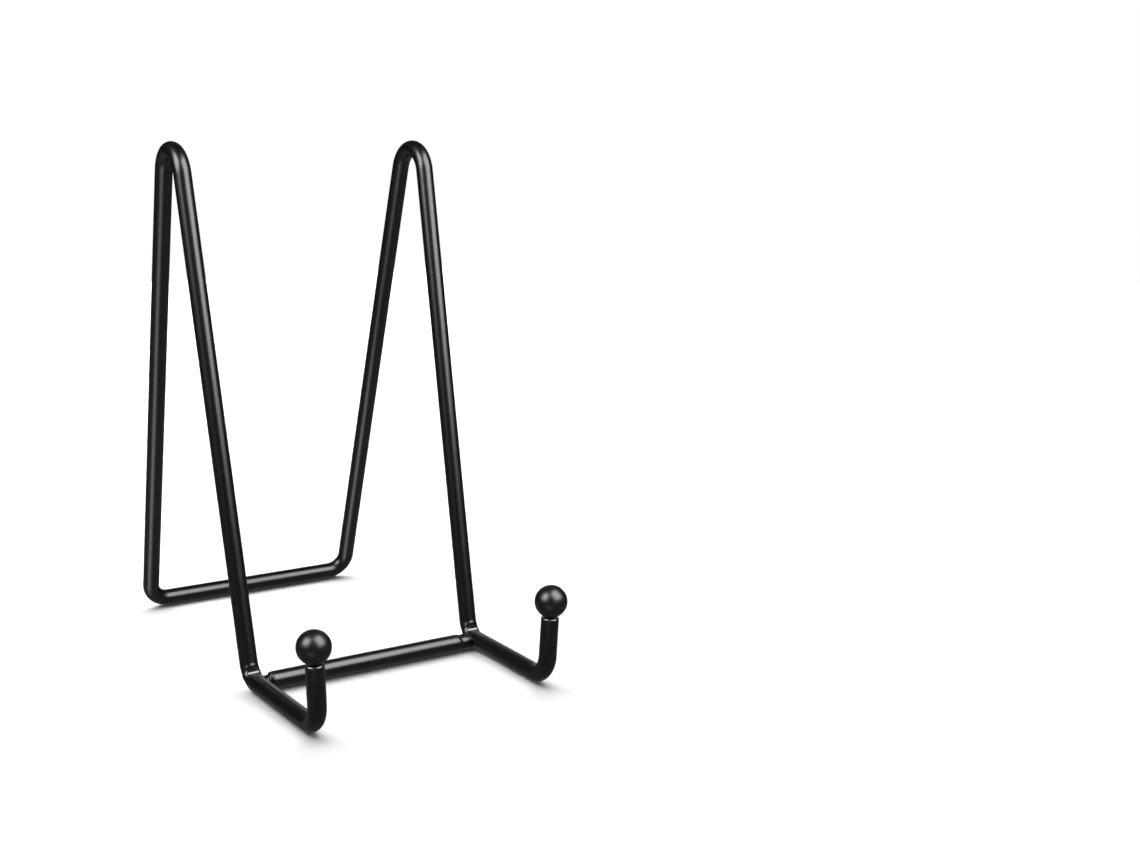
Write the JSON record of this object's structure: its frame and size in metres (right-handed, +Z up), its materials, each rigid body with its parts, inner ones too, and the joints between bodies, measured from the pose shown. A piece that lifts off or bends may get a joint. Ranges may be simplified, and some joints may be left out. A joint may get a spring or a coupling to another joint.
{
  "type": "photo album stand",
  "caption": "Bent-wire display easel for a photo album, book or picture frame, with A-shaped sides, a welded front crossbar and upturned hooks that end in balls.",
  "frame": {"origin": "on the standing surface, at the middle of the width and of the depth", "axes": "+Z up, -Y towards the viewer where the album faces and the hooks stand, +X to the viewer's right"},
  "size_m": [0.082, 0.1436, 0.1525],
  "materials": {
    "powder_coated_rod": "satin black powder coat over steel rod",
    "powder_coated_weld": "satin black powder coat over weld metal",
    "powder_coated_ball": "satin black powder coat over a steel ball"
  },
  "bodies": {
    "root": {"frame_rod": "powder_coated_rod", "front_crossbar": "powder_coated_rod", "crossbar_weld_left": "powder_coated_weld", "crossbar_weld_right": "powder_coated_weld", "ball_left": "powder_coated_ball", "ball_right": "powder_coated_ball", "ball_weld_left": "powder_coated_weld", "ball_weld_right": "powder_coated_weld"}
  },
  "joints": []
}
